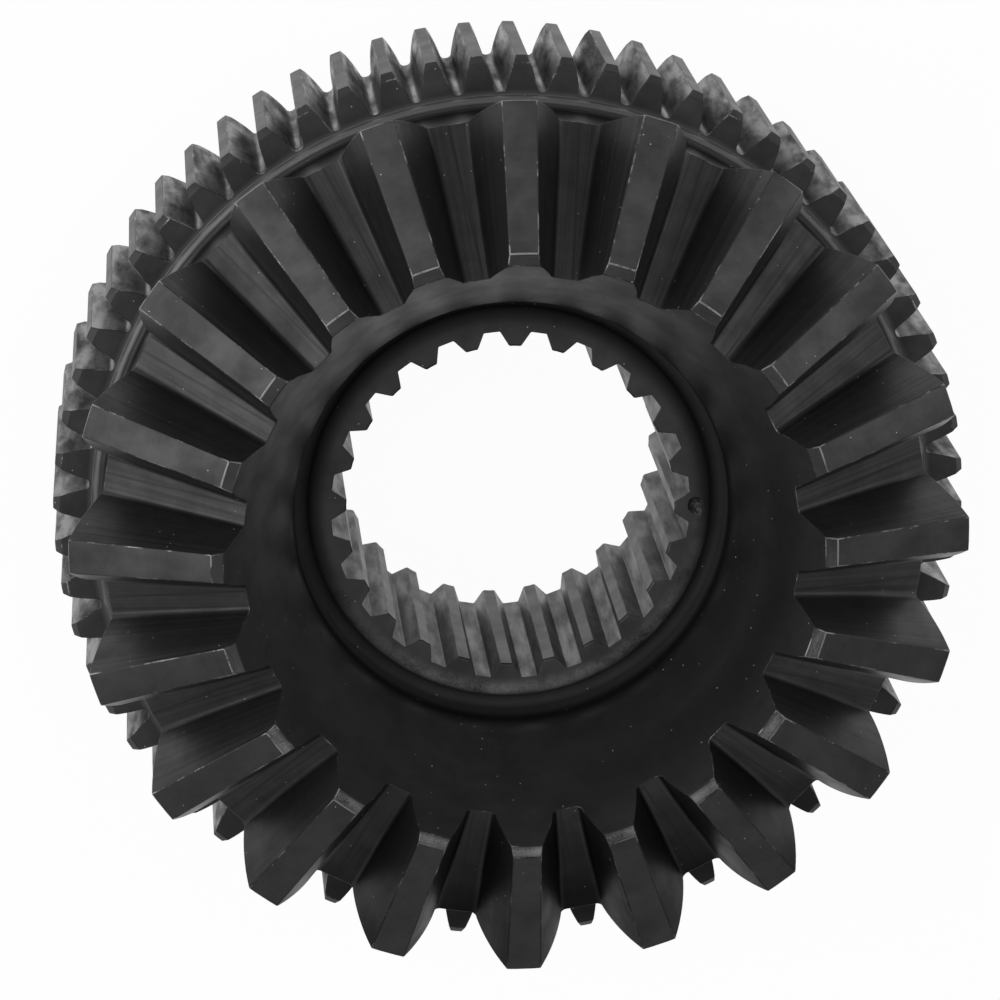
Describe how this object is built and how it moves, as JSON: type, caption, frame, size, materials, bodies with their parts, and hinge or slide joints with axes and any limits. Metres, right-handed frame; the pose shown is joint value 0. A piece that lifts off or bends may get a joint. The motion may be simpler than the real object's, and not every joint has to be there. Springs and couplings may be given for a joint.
{
  "type": "gear",
  "caption": "Straight bevel gear with a spur rim behind it, a deep conical recess and a splined bore in a central boss, in one piece of dark steel.",
  "frame": {"origin": "centre of the rear hub's face", "axes": "+Z along the bore axis, from the rear hub to the bevel teeth; +X through the middle of a bevel gap"},
  "size_m": [0.165, 0.165, 0.083],
  "materials": {
    "dark_steel": "hardened steel with a dark phosphate coat, worn bright on edges"
  },
  "bodies": {
    "root": {"gear": "dark_steel"}
  },
  "joints": []
}
